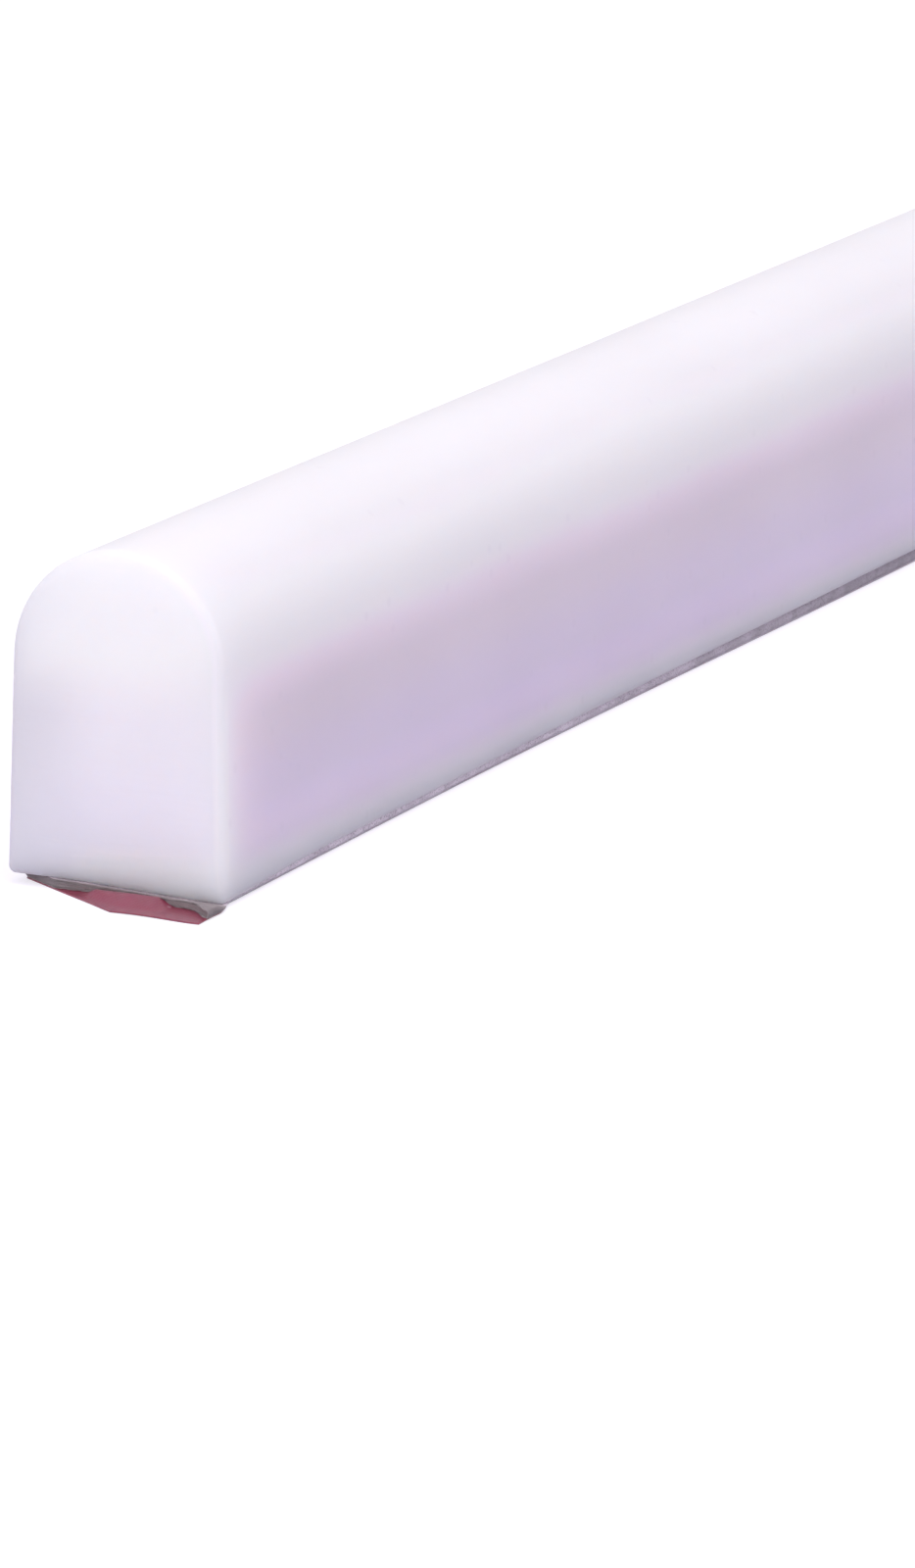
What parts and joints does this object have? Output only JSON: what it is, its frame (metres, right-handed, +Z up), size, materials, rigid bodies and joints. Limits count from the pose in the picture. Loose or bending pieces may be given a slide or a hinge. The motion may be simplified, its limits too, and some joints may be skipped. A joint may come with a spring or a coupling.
{
  "type": "silicone water stop strip",
  "caption": "Solid white silicone strip with a rounded crown, on foam tape with a red release liner, that dams water on a shower or counter floor.",
  "frame": {"origin": "centre of the strip's length and width, on the underside of the release liner", "axes": "+Y along the strip, away from the end whose tape and liner have lost a corner; +X across its width; +Z up, from the foot to the crown"},
  "size_m": [0.015, 0.508, 0.022],
  "materials": {
    "silicone": "satin translucent",
    "tape": "matte foam",
    "liner": "gloss film"
  },
  "bodies": {
    "root": {"silicone_bar": "silicone", "foam_tape": "tape", "release_liner": "liner"}
  },
  "joints": []
}
